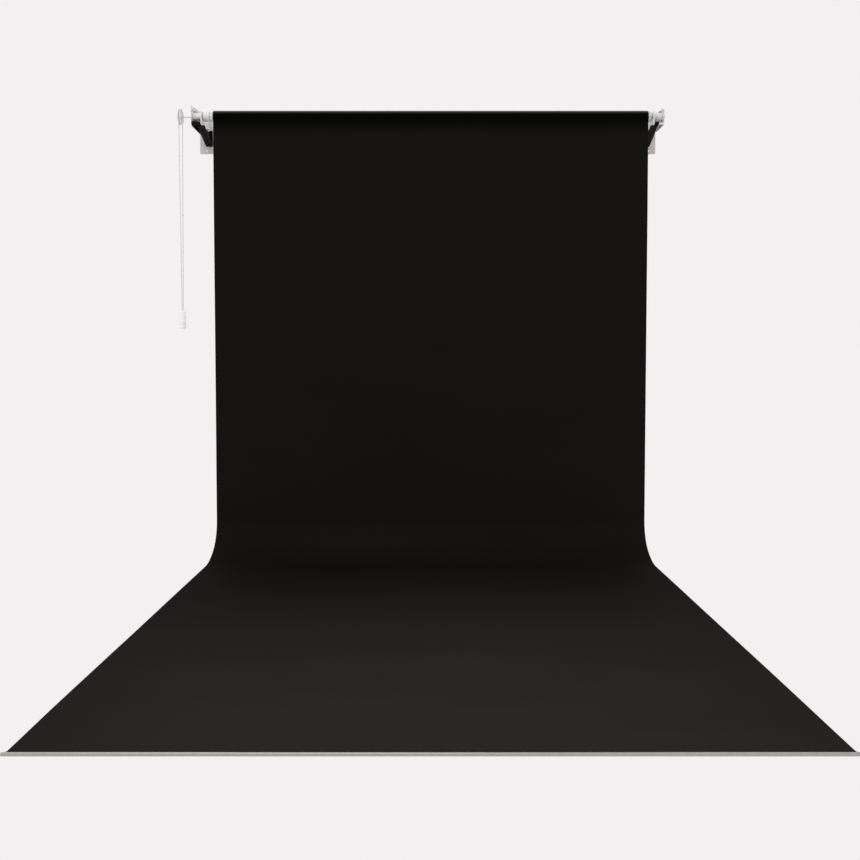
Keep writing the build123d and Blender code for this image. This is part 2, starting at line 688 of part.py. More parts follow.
def make_sprocket():
    """The bead wheel, with a pocket for each bead, and the washer and nut that hold it."""
    floor_r = CHAIN_R - BEAD_R - 0.4
    side = BEAD_R + 0.5
    hub_in, hub_out = SPROCKET_X + 9.0, SPROCKET_X - 10.0
    wheel_profile = [
        (hub_in, 5.0),
        (hub_in, 15.0),
        (SPROCKET_X + 4, 17.0),
        (SPROCKET_X + 4, 36.0),
        (SPROCKET_X + SPROCKET_HALF, 40.0),
        (SPROCKET_X + SPROCKET_HALF, SPROCKET_R - 1),
        (SPROCKET_X + SPROCKET_HALF - 1, SPROCKET_R),
        (SPROCKET_X + side + 1.6, SPROCKET_R),
        (SPROCKET_X + side, CHAIN_R + 1),
        (SPROCKET_X + side, floor_r),
    ]
    mirrored = [(2 * SPROCKET_X - x, r) for x, r in reversed(wheel_profile[2:])]
    with BuildPart() as sprocket:
        with BuildSketch(ROLL_PLANE):
            with BuildLine():
                Polyline(*wheel_profile, *mirrored, (hub_out, 15.0), (hub_out, 5.0), close=True)
            make_face()
        revolve(axis=ROLL_AXIS)
        with Locations(across(SPROCKET_X, AXIS_Y, AXIS_Z)):
            with PolarLocations(CHAIN_R, SPROCKET_BEADS):
                Sphere(BEAD_R + 1.1, mode=Mode.SUBTRACT)
        # Round windows lighten the web.
        with BuildSketch(across(SPROCKET_X, AXIS_Y, AXIS_Z)):
            with PolarLocations(27, 6):
                Circle(6.5)
        extrude(amount=SPROCKET_HALF, both=True, mode=Mode.SUBTRACT)
    save(sprocket.part, "sprocket")

    washer = turned((hub_out, 5.0), (hub_out, 11.0), (hub_out - 2, 11.0), (hub_out - 2, 5.0))
    save(washer.part, "sprocket_washer")
    with BuildPart() as nut:
        with BuildSketch(across(hub_out - 2, AXIS_Y, AXIS_Z)):
            RegularPolygon(9.8, 6)
            Circle(5.0, mode=Mode.SUBTRACT)
        extrude(amount=-7)
    save(nut.part, "sprocket_nut")


def make_chain():
    """The bead chain: a closed loop over the sprocket and through the weight, as a plain tube."""
    lean = degrees(asin((CHAIN_R - CHAIN_END_R) / CHAIN_DROP))
    top = (AXIS_Y, AXIS_Z)
    bottom = (AXIS_Y, AXIS_Z - CHAIN_DROP)
    plane = across(SPROCKET_X)
    with BuildPart() as chain:
        with BuildLine(plane) as route:
            under = CenterArc(bottom, CHAIN_END_R, 180 + lean, 180 - 2 * lean)
            over = CenterArc(top, CHAIN_R, 180 + lean, -(180 + 2 * lean), mode=Mode.PRIVATE)
            Line(over @ 0, under @ 0)
            Line(under @ 1, over @ 1)
        start = route.wires()[0]
        with BuildSketch(Plane(origin=start @ 0, z_dir=start % 0)):
            Circle(BEAD_R)
        sweep(path=start)
    save(chain.part, "pull_chain")
    print("pull_chain length", round(start.length, 1), "volume over section times length",
          round(chain.part.volume / (pi * BEAD_R**2 * start.length), 4))
    print("pull_chain radius at the weight", CHAIN_END_R)

    with BuildPart() as wrap:
        with BuildLine(plane) as arc:
            CenterArc(top, CHAIN_R, 180 + lean, -(180 + 2 * lean))
        around = arc.wires()[0]
        with BuildSketch(Plane(origin=around @ 0, z_dir=around % 0)):
            Circle(BEAD_R)
        sweep(path=around)
    save(wrap.part, "pull_chain_on_wheel")

    # The joiner snaps over two beads on the back run, halfway down.
    back = start.edges().sort_by(Axis.Y)[-1]
    middle = Plane(origin=back @ 0.5, z_dir=back % 0.5)
    with BuildPart() as joiner:
        with BuildSketch(middle):
            Circle(BEAD_R + 1.4)
            Circle(BEAD_R + 0.02, mode=Mode.SUBTRACT)
        extrude(amount=7, both=True)
    save(joiner.part, "chain_joiner")

    # The weight hangs on the loop by a curved tunnel through its head.
    with BuildPart() as weight:
        with BuildSketch(Plane(origin=(SPROCKET_X, AXIS_Y, 0), x_dir=(1, 0, 0), z_dir=(0, -1, 0))):
            head = bottom[1] - 1.0
            foot = head - WEIGHT_HEIGHT
            with BuildLine():
                Polyline((0, foot), (WEIGHT_R - 8, foot))
                ThreePointArc((WEIGHT_R - 8, foot), (WEIGHT_R - 2.4, foot + 2.4), (WEIGHT_R, foot + 8))
                Line((WEIGHT_R, foot + 8), (WEIGHT_R, head - 6))
                ThreePointArc((WEIGHT_R, head - 6), (WEIGHT_R - 1.8, head - 1.8), (WEIGHT_R - 6, head))
                Polyline((WEIGHT_R - 6, head), (0, head), (0, foot))
            make_face()
        revolve(axis=Axis(origin=(SPROCKET_X, AXIS_Y, 0), direction=(0, 0, 1)))
        with BuildSketch(Plane(origin=(SPROCKET_X, AXIS_Y + CHAIN_END_R, bottom[1]))):
            Circle(BEAD_R + 0.6)
        revolve(
            axis=Axis(origin=(SPROCKET_X, AXIS_Y, bottom[1]), direction=(1, 0, 0)),
            mode=Mode.SUBTRACT,
        )
    save(weight.part, "chain_weight")


make_paper_sheet()
make_roll()
make_bottom_rail()
for side, way in SIDES.items():
    make_wall_plate(side, way)
    make_inner_cheek(side, way)
    make_arm(side, way)
    make_latch(side, way)
    make_bearing(side, way)
    make_expander(side, way)
make_bracket_fasteners()
make_axles()
make_sprocket()
make_chain()
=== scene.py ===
"""The looks of the backdrop paper roll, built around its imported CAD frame."""

import json
import math

import bpy
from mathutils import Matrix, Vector, noise


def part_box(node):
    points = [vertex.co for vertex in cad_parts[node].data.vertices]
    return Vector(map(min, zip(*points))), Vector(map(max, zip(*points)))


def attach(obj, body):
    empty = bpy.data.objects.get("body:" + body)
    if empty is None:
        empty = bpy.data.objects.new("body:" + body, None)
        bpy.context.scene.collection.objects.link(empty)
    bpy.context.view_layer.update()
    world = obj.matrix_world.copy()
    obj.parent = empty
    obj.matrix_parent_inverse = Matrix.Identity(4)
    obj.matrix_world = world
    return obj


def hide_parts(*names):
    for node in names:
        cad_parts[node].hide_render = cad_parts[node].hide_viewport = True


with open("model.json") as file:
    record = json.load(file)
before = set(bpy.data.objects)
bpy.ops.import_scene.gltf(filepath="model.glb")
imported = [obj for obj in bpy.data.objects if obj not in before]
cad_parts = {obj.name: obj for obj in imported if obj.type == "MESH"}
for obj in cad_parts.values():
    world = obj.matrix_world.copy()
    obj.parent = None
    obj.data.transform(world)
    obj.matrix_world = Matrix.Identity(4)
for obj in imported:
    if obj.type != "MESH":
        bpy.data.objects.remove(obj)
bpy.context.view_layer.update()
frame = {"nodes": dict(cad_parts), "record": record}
NODES = frame["nodes"]
SLOT_OF = {part["node"]: part["material_slot"] for part in frame["record"]["subparts"]}

# ---- Places read from the frame -----------------------------------------------------------------

WOUND_LOW, WOUND_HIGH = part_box("paper_wound")
AXIS_Y = (WOUND_LOW.y + WOUND_HIGH.y) / 2
AXIS_Z = (WOUND_LOW.z + WOUND_HIGH.z) / 2
PAPER_LEFT, PAPER_RIGHT = WOUND_LOW.x, WOUND_HIGH.x
PAPER_MID = (PAPER_LEFT + PAPER_RIGHT) / 2
FLOOR_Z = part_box("paper_sheet")[0].z
RAIL_LOW, RAIL_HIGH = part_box("bottom_rail")
RAIL_Y, RAIL_Z = (RAIL_LOW.y + RAIL_HIGH.y) / 2, (RAIL_LOW.z + RAIL_HIGH.z) / 2
CHAIN_LOW, CHAIN_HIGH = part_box("pull_chain")
CHAIN_X = (CHAIN_LOW.x + CHAIN_HIGH.x) / 2

# ---- The sizes that part.py gives the soft pieces ------------------------------------------------

WRAP_R, WRAP_ARC = 0.0368, 330.0
PAPER_T = 0.0004
SWEEP_UPPER_R, SWEEP_UPPER_ARC = 0.2, 60.0
SWEEP_LOWER_R, SWEEP_LOWER_ARC = 0.45, 30.0
LIFT_R, RAIL_R = 0.06, 0.0065
BEAD_R, BEAD_PITCH, SPROCKET_BEADS = 0.003, 0.008, 36
CHAIN_R = SPROCKET_BEADS * BEAD_PITCH / (2 * math.pi)
CHAIN_DROP, CHAIN_END_R = 1.215, 0.014


# ---- Materials ----------------------------------------------------------------------------------


class Look:
    """A procedural material: the shader, with mapped coordinates and helpers to feed it."""

    def __init__(self, name, **inputs):
        self.material = bpy.data.materials.new(name)
        self.material.use_nodes = True
        self.tree = self.material.node_tree
        self.shader = self.tree.nodes["Principled BSDF"]
        self.place = self.tree.nodes.new("ShaderNodeTexCoord").outputs["Object"]
        self.height = None
        for key, value in inputs.items():
            self.shader.inputs[key.replace("_", " ")].default_value = value

    def node(self, kind, links=(), **settings):
        """A new shader node: settings are its input values or properties, links its fed inputs."""
        made = self.tree.nodes.new(kind)
        for key, value in settings.items():
            if key in made.inputs:
                made.inputs[key].default_value = value
            else:
                setattr(made, key, value)
        for key, source in dict(links).items():
            self.tree.links.new(source, made.inputs[key])
        return made

    def stretched(self, scale):
        """The piece's own coordinates, multiplied by scale along X, Y and Z."""
        return self.node("ShaderNodeMapping", {"Vector": self.place}, Scale=scale).outputs["Vector"]

    def noise(self, size, detail=2.0, rough=0.5, stretch=(1, 1, 1)):
        """Noise whose grains are about size metres across; a large stretch shortens them that way."""
        where = self.place if stretch == (1, 1, 1) else self.stretched(stretch)
        return self.node(
            "ShaderNodeTexNoise",
            {"Vector": where},
            Scale=1 / size,
            Detail=detail,
            Roughness=rough,
        ).outputs["Fac"]

    def spread(self, source, low, high, start=0.35, end=0.65):
        """source remapped: start becomes low, and end becomes high."""
        made = self.node("ShaderNodeMapRange", {"Value": source})
        for key, value in (("From Min", start), ("From Max", end), ("To Min", low), ("To Max", high)):
            made.inputs[key].default_value = value
        return made.outputs["Result"]

    def blend(self, factor, first, second):
        """A colour from first at factor 0 to second at factor 1."""
        made = self.node("ShaderNodeMix", data_type="RGBA")
        self.tree.links.new(factor, made.inputs["Factor"])
        for socket, colour in ((made.inputs["A"], first), (made.inputs["B"], second)):
            if isinstance(colour, tuple):
                socket.default_value = (*colour, 1)
            else:
                self.tree.links.new(colour, socket)
        return made.outputs["Result"]

    def colour(self, source):
        """Feeds the surface's colour."""
        self.tree.links.new(source, self.shader.inputs["Base Color"])

    def rough(self, source):
        """Feeds the surface's roughness."""
        self.tree.links.new(source, self.shader.inputs["Roughness"])

    def bump(self, source, depth, strength=1.0):
        """Raises the surface by source times depth, in metres, on top of the bumps already there."""
        made = self.node("ShaderNodeBump", {"Height": source}, Strength=strength, Distance=depth)
        if self.height is not None:
            self.tree.links.new(self.height, made.inputs["Normal"])
        self.height = made.outputs["Normal"]
        self.tree.links.new(self.height, self.shader.inputs["Normal"])


PAPER_DARK, PAPER_LIGHT = (0.0062, 0.0059, 0.0050), (0.0070, 0.0067, 0.0057)
# Painted shade: the paper's colour near and on the roll, darker than the hanging sheet.
PAPER_ROLL_SHADE = (0.0009, 0.0009, 0.0007)
PAPER_FIBRE = (0.009, 0.009, 0.008)
PAPER_CREST = (0.25, 0.24, 0.24)
CREST_POWER = 3.3  # keeps the crest's pale tone close to the top of the roll
LAYER_SCALE = 600.0  # rings about half a millimetre apart


def paper_look(name, layers=False):
    """Black seamless paper: matt, with a slow mottle, painted shade near and on the roll, and pale along
    its crest.

    layers adds the edges of the wound turns, as rings about the roll's axis.
    """
    look = Look(name, Specular_IOR_Level=0.03)
    fibres = look.noise(0.0011, detail=5, rough=0.65)
    mottle = look.noise(0.35, detail=3, rough=0.5, stretch=(0.35, 1, 1))
    base = look.blend(look.spread(mottle, 0, 1), PAPER_DARK, PAPER_LIGHT)
    height = look.node("ShaderNodeSeparateXYZ", {"Vector": look.place}).outputs["Z"]
    # Painted shade: the colour darkens from 13 cm below the roll's axis up onto the roll.
    roll_shade = look.spread(height, 0, 1, AXIS_Z - 0.13, AXIS_Z - 0.025)
    base = look.blend(roll_shade, base, PAPER_ROLL_SHADE)
    base = look.blend(look.spread(fibres, 0, 0.22, 0.5, 0.75), base, PAPER_FIBRE)
    rise = look.spread(height, 0, 1, AXIS_Z + 0.005, AXIS_Z + WRAP_R)
    crest = look.node("ShaderNodeMath", {"Value": rise}, operation="POWER")
    crest.inputs[1].default_value = CREST_POWER
    look.colour(look.blend(crest.outputs["Value"], base, PAPER_CREST))
    look.rough(look.spread(fibres, 0.78, 0.92))
    look.bump(look.noise(0.012, detail=2), 0.00012, 0.6)
    look.bump(fibres, 0.00005, 0.5)
    if layers:
        centred = look.node("ShaderNodeMapping", {"Vector": look.place}, Location=(0, -AXIS_Y, -AXIS_Z))
        rings = look.node(
            "ShaderNodeTexWave",
            {"Vector": centred.outputs["Vector"]},
            wave_type="RINGS",
            rings_direction="X",
            Scale=LAYER_SCALE,
            Distortion=1.5,
        )
        look.bump(rings.outputs["Fac"], 0.0002, 0.8)
    return look


def kraft_look():
    """Brown kraft board, its fibres long along the tube."""
    look = Look("kraft_board", Specular_IOR_Level=0.25)
    fibres = look.noise(0.0015, detail=6, rough=0.7, stretch=(0.2, 1, 1))
    look.colour(look.blend(look.spread(fibres, 0, 1), (0.30, 0.20, 0.11), (0.44, 0.31, 0.18)))
    look.rough(look.spread(fibres, 0.75, 0.9))
    look.bump(fibres, 0.0001, 0.5)
    return look


def plastic_look(name, colour, grain=0.0006, rough=(0.38, 0.5)):
    """Moulded plastic with a fine spark-eroded grain and a little uneven shine."""
    look = Look(name)
    skin = look.noise(grain, detail=3, rough=0.6)
    cloud = look.noise(0.03, detail=3)
    dark = tuple(c * 0.97 for c in colour)
    light = tuple(min(1, c * 1.03) for c in colour)
    look.colour(look.blend(look.spread(cloud, 0, 1), dark, light))
    look.rough(look.spread(cloud, *rough))
    look.bump(skin, 0.00003, 0.5)
    return look


def coat_look(name, colour, rough=(0.42, 0.55), **inputs):
    """Powder coat: orange peel, a fine sparkle of texture, and duller patches."""
    look = Look(name, **inputs)
    peel = look.noise(0.0022, detail=2, rough=0.5)
    speck = look.noise(0.0005, detail=2)
    cloud = look.noise(0.05, detail=4)
    dark = tuple(c * 0.93 for c in colour)
    light = tuple(min(1, c * 1.06) for c in colour)
    look.colour(look.blend(look.spread(cloud, 0, 1), dark, light))
    look.rough(look.spread(cloud, *rough))
    look.bump(peel, 0.00007, 0.5)
    look.bump(speck, 0.000021, 0.4)
    return look


def metal_look(name, colour, rough=(0.3, 0.42), stretch=(1, 1, 1), grain=0.0008, patch=0.02):
    """Bare or plated metal: brushed along the way that stretch leaves long, with dull patches."""
    look = Look(name, Metallic=1.0)
    brush = look.noise(grain, detail=4, rough=0.6, stretch=stretch)
    cloud = look.noise(patch, detail=4, rough=0.6)
    dark = tuple(c * 0.86 for c in colour)
    look.colour(look.blend(look.spread(cloud, 0, 1), dark, colour))
    look.rough(look.spread(cloud, *rough))
    look.bump(brush, 0.00002, 0.5)
    return look


def rubber_look(name, dark, light):
    """Dull rubber with a fine grain between two tones."""
    look = Look(name, Specular_IOR_Level=0.3)
    skin = look.noise(0.0007, detail=3)
    look.colour(look.blend(look.spread(skin, 0, 1), dark, light))
    look.rough(look.spread(skin, 0.7, 0.88))
    look.bump(skin, 0.00005, 0.5)
    return look


LOOKS = {
    "backdrop_paper": paper_look("black_paper"),
    "wound_paper": paper_look("wound_black_paper", layers=True),
    "kraft_core": kraft_look(),
    "anodised_rail": metal_look(
        "anodised_rail", (0.435, 0.45, 0.42), rough=(0.34, 0.44), stretch=(0.02, 1, 1), grain=0.0004
    ),
    "rail_plastic": plastic_look("rail_plastic", (0.50, 0.52, 0.49)),
    "clear_spline": plastic_look("clear_spline", (0.70, 0.70, 0.67), rough=(0.25, 0.35)),
    "grey_steel": coat_look("grey_powder_coat", (0.75, 0.72, 0.73)),
    "black_casting": coat_look(
        "black_powder_coat", (0.0045, 0.0045, 0.004), rough=(0.6, 0.72), Specular_IOR_Level=0.08
    ),
    "zinc_steel": metal_look("zinc_plate", (0.66, 0.67, 0.64), rough=(0.3, 0.45), patch=0.006),
    "dark_steel": metal_look("oiled_steel", (0.28, 0.28, 0.29), stretch=(4, 1, 1), grain=0.001),
    "pale_plastic": plastic_look("pale_plastic", (0.64, 0.66, 0.62)),
    "bearing_plastic": plastic_look("bearing_plastic", (0.70, 0.71, 0.67), rough=(0.3, 0.4)),
    "bronze": metal_look("sintered_bronze", (0.55, 0.36, 0.17), rough=(0.4, 0.55), grain=0.0003),
    "pale_steel": coat_look("pale_powder_coat", (0.76, 0.78, 0.74)),
    "pad_rubber": rubber_look("grey_rubber", (0.40, 0.41, 0.38), (0.45, 0.46, 0.43)),
    "rubber": rubber_look("black_rubber", (0.018, 0.018, 0.018), (0.03, 0.03, 0.029)),
    "wheel_plastic": plastic_look("wheel_plastic", (0.80, 0.80, 0.80), rough=(0.32, 0.42)),
    "bead_plastic": plastic_look("bead_plastic", (0.62, 0.63, 0.61), grain=0.0012, rough=(0.2, 0.3)),
    "weight_plastic": plastic_look("weight_plastic", (0.92, 0.91, 0.91), rough=(0.28, 0.38)),
}


def paint(obj, look):
    """Gives a piece one of the looks as its only material."""
    obj.data.materials.clear()
    obj.data.materials.append(LOOKS[look].material)


def smooth(obj, angle=32):
    """Shades curved faces smooth and keeps edges sharper than angle, in degrees."""
    obj.data.polygons.foreach_set("use_smooth", [True] * len(obj.data.polygons))
    obj.data.set_sharp_from_angle(angle=math.radians(angle))


def soften_edges(obj, width):
    """A small rounded edge on every corner, so that it catches the light."""
    bevel = obj.modifiers.new("softened_edges", "BEVEL")
    bevel.width = width
    bevel.segments = 2
    bevel.limit_method = "ANGLE"
    bevel.angle_limit = math.radians(50)


# The rounding, in metres, of each kind of hard-edged piece.
SOFTENED = {
    "wall_plate": 0.0005,
    "inner_cheek": 0.0005,
    "arm": 0.0012,
    "latch": 0.0004,
    "latch_pad": 0.0006,
    "bearing_block": 0.0005,
    "knob": 0.0006,
}
# The plain CAD nodes that finer pieces replace.
REDRAWN = ("paper_sheet", "pull_chain", "pull_chain_on_wheel")


def dress_nodes():
    """Gives each CAD node its material, its softened edges and its smooth shading."""
    for name, node in NODES.items():
        paint(node, "wound_paper" if name == "paper_wound" else SLOT_OF[name])
        kind = name.removeprefix("left_").removeprefix("right_")
        if kind in SOFTENED:
            soften_edges(node, SOFTENED[kind])
        if name not in REDRAWN:
            smooth(node)


# ---- Mesh helpers -------------------------------------------------------------------------------


def add_mesh(name, verts, faces, slot, body, angle=32):
    """A drawn piece that takes its finish from a slot and rides a body."""
    mesh = bpy.data.meshes.new(name)
    mesh.from_pydata([tuple(v) for v in verts], [], faces)
    mesh.validate()
    mesh.update()
    obj = bpy.data.objects.new(name, mesh)
    bpy.context.scene.collection.objects.link(obj)
    paint(obj, slot)
    smooth(obj, angle)
    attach(obj, body)
    return obj


def lathe(profile, centre, along, segments=64):
    """Verts and faces of a closed profile of (distance along, radius) turned about an axis."""
    along = Vector(along).normalized()
    side = along.orthogonal().normalized()
    other = along.cross(side)
    verts, faces = [], []
    count = len(profile)
    for i in range(segments):
        a = 2 * math.pi * i / segments
        out = side * math.cos(a) + other * math.sin(a)
        verts += [Vector(centre) + along * s + out * r for s, r in profile]
    for i in range(segments):
        here, there = i * count, (i + 1) % segments * count
        for j in range(count):
            k = (j + 1) % count
            faces.append((here + j, here + k, there + k, there + j))
    return verts, faces


# ---- Paper --------------------------------------------------------------------------------------

# How far apart the sheet's points are on its small bends, its sweep and its straight runs.
BEND_STEP, SWEEP_STEP, RUN_STEP = 0.004, 0.012, 0.02
COLUMNS = 160  # faces across the sheet
# The heights of the sheet's long waves, its short ones and the curl of its side edges.
SLOW_RIPPLE, QUICK_RIPPLE, EDGE_CURL = 0.0035, 0.0012, 0.0045
CURL_REACH = 0.09  # how far in from a side edge the curl fades to about a third
LYING = 0.02  # paper lower than this above the floor lies on it
LYING_SHARE = 0.7  # how much of its ripple paper that lies on the floor keeps


def arc_points(centre, radius, start, turn, step):
    """Points along an arc in the (y, z) plane, its angles in degrees from +Y towards +Z."""
    count = max(2, round(abs(math.radians(turn)) * radius / step))
    points = []
    for i in range(count + 1):
        a = math.radians(start + turn * i / count)
        points.append((centre[0] + radius * math.cos(a), centre[1] + radius * math.sin(a)))
    return points


def line_points(start, end, step):
    """Points along a straight line in the (y, z) plane."""
    count = max(1, round(math.dist(start, end) / step))
    return [
        (start[0] + (end[0] - start[0]) * i / count, start[1] + (end[1] - start[1]) * i / count)
        for i in range(count + 1)
    ]


def paper_route():
    """The sheet's middle line in the (y, z) plane: round the roll, down, forward and into the rail.

    The second value is how many of its points are on the roll.
    """
    half = PAPER_T / 2
    upper, lower = math.radians(SWEEP_UPPER_ARC), math.radians(SWEEP_LOWER_ARC)
    sweep_drop = SWEEP_UPPER_R * math.sin(upper) + SWEEP_LOWER_R * (1 - math.sin(upper))
    sheet_y = AXIS_Y - WRAP_R - half
    bend_z = FLOOR_Z + half + sweep_drop
    pieces = [
        arc_points((AXIS_Y, AXIS_Z), WRAP_R + half, 180 - WRAP_ARC, WRAP_ARC, BEND_STEP),
        line_points((sheet_y, AXIS_Z), (sheet_y, bend_z), RUN_STEP),
        arc_points((sheet_y - SWEEP_UPPER_R, bend_z), SWEEP_UPPER_R, 0, -SWEEP_UPPER_ARC, SWEEP_STEP),
    ]
    low_y, low_z = pieces[-1][-1]
    centre = (
        low_y - SWEEP_LOWER_R * math.cos(upper),
        low_z + SWEEP_LOWER_R * math.sin(upper),
    )
    pieces.append(arc_points(centre, SWEEP_LOWER_R, -SWEEP_UPPER_ARC, -SWEEP_LOWER_ARC, SWEEP_STEP))
    lift = RAIL_Z - pieces[-1][-1][1]
    turn = 2 * math.asin(math.sqrt(lift / (4 * LIFT_R)))
    lift_run = 2 * LIFT_R * math.sin(turn)
    foot = (RAIL_Y + RAIL_R + lift_run, FLOOR_Z + half)
    pieces.append(line_points(pieces[-1][-1], foot, RUN_STEP))
    turn_deg = math.degrees(turn)
    pieces.append(arc_points((foot[0], foot[1] + LIFT_R), LIFT_R, -90, -turn_deg, BEND_STEP))
    rise_y, rise_z = pieces[-1][-1]
    over = (rise_y - LIFT_R * math.sin(turn), rise_z - LIFT_R * math.cos(turn))
    pieces.append(arc_points(over, LIFT_R, 90 - turn_deg, turn_deg, BEND_STEP))
    pieces.append(line_points(pieces[-1][-1], (RAIL_Y, RAIL_Z), BEND_STEP))
    route = [pieces[0][0]]
    for piece in pieces:
        route += [p for p in piece if math.dist(p, route[-1]) > 1e-6]
    return route, len(pieces[0])


def directions(route):
    """The unit direction of a route at each of its points."""
    found = []
    for i in range(len(route)):
        ahead, behind = route[min(i + 1, len(route) - 1)], route[max(i - 1, 0)]
        size = math.dist(ahead, behind)
        found.append(((ahead[0] - behind[0]) / size, (ahead[1] - behind[1]) / size))
    return found


def distances(route):
    """How far along a route each of its points is."""
    travel = [0.0]
    for i in range(1, len(route)):
        travel.append(travel[-1] + math.dist(route[i], route[i - 1]))
    return travel


def freedom(from_roll, to_rail):
    """How freely the sheet ripples, from 0 by the roll and the rail to 1 well clear of both."""
    free = min(1.0, max(0.0, (from_roll - 0.05) / 0.6))
    return free * min(1.0, max(0.0, (to_rail - 0.08) / 0.3))


def ripple(x, s):
    """How far free paper stands out from its route, at x across it and s along it."""
    slow = noise.noise(Vector((x * 0.9, s * 0.55, 3.7)))
    quick = noise.noise(Vector((x * 2.6, s * 1.1, 9.1)))
    edge = min(x - PAPER_LEFT, PAPER_RIGHT - x)
    curl = math.exp(-edge / CURL_REACH) * (0.5 + 0.5 * noise.noise(Vector((x, s * 1.4, 5.0))))
    return SLOW_RIPPLE * slow + QUICK_RIPPLE * quick + EDGE_CURL * curl


def skin_faces(rows, columns):
    """The faces of a thin closed skin, whose front vertices come row by row, then its back ones."""
    stride = columns + 1
    back = rows * stride
    faces = []
    for r in range(rows - 1):
        for c in range(columns):
            a = r * stride + c
            faces.append((a, a + 1, a + stride + 1, a + stride))
            faces.append((back + a, back + a + stride, back + a + stride + 1, back + a + 1))
    for r in range(rows - 1):
        for c in (0, columns):
            a, b = r * stride + c, (r + 1) * stride + c
            faces.append((a, b, back + b, back + a) if c == 0 else (b, a, back + a, back + b))
    for c in range(columns):
        faces.append((c + 1, c, back + c, back + c + 1))
        a = (rows - 1) * stride + c
        faces.append((a, a + 1, back + a + 1, back + a))
    return faces


def make_paper():
    """The hanging sheet as one thin skin, with the slow ripples of paper that hangs by its own weight."""
    route, on_roll = paper_route()
    travel = distances(route)
    wrap_end = travel[on_roll - 1]
    width = PAPER_RIGHT - PAPER_LEFT
    verts = []
    for side in (0.5, -0.5):
        for (y, z), (along_y, along_z), s in zip(route, directions(route), travel):
            free = freedom(s - wrap_end, travel[-1] - s)
            out_y, out_z = along_z, -along_y  # towards the room: in front of the drop, above the floor
            for i in range(COLUMNS + 1):
                x = PAPER_LEFT + width * i / COLUMNS
                out = free * ripple(x, s)
                if z < FLOOR_Z + LYING:
                    out = abs(out) * LYING_SHARE
                shift = out + side * PAPER_T
                verts.append((x, y + out_y * shift, z + out_z * shift))
    faces = skin_faces(len(route), COLUMNS)
    sheet = add_mesh("paper_drop", verts, faces, "backdrop_paper", "frame", angle=40)
    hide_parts("paper_sheet")
    return sheet


# ---- Chain --------------------------------------------------------------------------------------

CHAIN_LEAN = math.asin((CHAIN_R - CHAIN_END_R) / CHAIN_DROP)
TUNNEL_Z = AXIS_Z - CHAIN_DROP
# A bead's outline as (distance along, radius), in shares of its radius.
BEAD_RINGS = [
    (-0.98, 0.16),
    (-0.80, 0.60),
    (-0.42, 0.91),
    (0.0, 1.0),
    (0.42, 0.91),
    (0.80, 0.60),
    (0.98, 0.16),
]
BEAD_SIDES, LINK_SIDES = 14, 6
LINK_R = 0.3 * BEAD_R


def nurbs_points(name, points):
    """Points along a smooth route, read from a NURBS curve whose control points are given."""
    curve = bpy.data.curves.new(name, "CURVE")
    curve.dimensions = "3D"
    spline = curve.splines.new("NURBS")
    spline.points.add(len(points) - 1)
    for place, point in zip(spline.points, points):
        place.co = (*point, 1)
    spline.order_u = 3
    spline.use_endpoint_u = True
    spline.resolution_u = 24
    obj = bpy.data.objects.new(name, curve)
    bpy.context.scene.collection.objects.link(obj)
    mesh = bpy.data.meshes.new_from_object(obj)
    line = [v.co.copy() for v in mesh.vertices]
    bpy.data.objects.remove(obj)
    bpy.data.curves.remove(curve)
    bpy.data.meshes.remove(mesh)
    return line


def even_points(line, step):
    """(point, direction) at every step metres along a line."""
    found, gone, due = [], 0.0, step / 2
    for a, b in zip(line, line[1:]):
        size = (b - a).length
        while size > 0 and due <= gone + size:
            found.append((a.lerp(b, (due - gone) / size), (b - a).normalized()))
            due += step
        gone += size
    return found


def add_beads(places, verts, faces, step):
    """A bead at each place, and a link of cord through it that meets its neighbours' halfway."""
    for point, along in places:
        side = along.orthogonal().normalized()
        other = along.cross(side)
        start = len(verts)
        for i in range(BEAD_SIDES):
            a = 2 * math.pi * i / BEAD_SIDES
            out = side * math.cos(a) + other * math.sin(a)
            verts += [point + (along * s + out * r) * BEAD_R for s, r in BEAD_RINGS]
        count = len(BEAD_RINGS)
        for i in range(BEAD_SIDES):
            here, there = start + i * count, start + (i + 1) % BEAD_SIDES * count
            for j in range(count - 1):
                faces.append((here + j, there + j, there + j + 1, here + j + 1))
        faces.append(tuple(start + i * count for i in range(BEAD_SIDES)))
        faces.append(tuple(start + i * count + count - 1 for i in reversed(range(BEAD_SIDES))))
        near = len(verts)
        far = near + LINK_SIDES
        for s in (-step / 2, step / 2):
            for i in range(LINK_SIDES):
                a = 2 * math.pi * i / LINK_SIDES
                out = side * math.cos(a) + other * math.sin(a)
                verts.append(point + along * s + out * LINK_R)
        for i in range(LINK_SIDES):
            j = (i + 1) % LINK_SIDES
            faces.append((near + i, near + j, far + j, far + i))
        faces.append(tuple(near + i for i in reversed(range(LINK_SIDES))))
        faces.append(tuple(far + i for i in range(LINK_SIDES)))


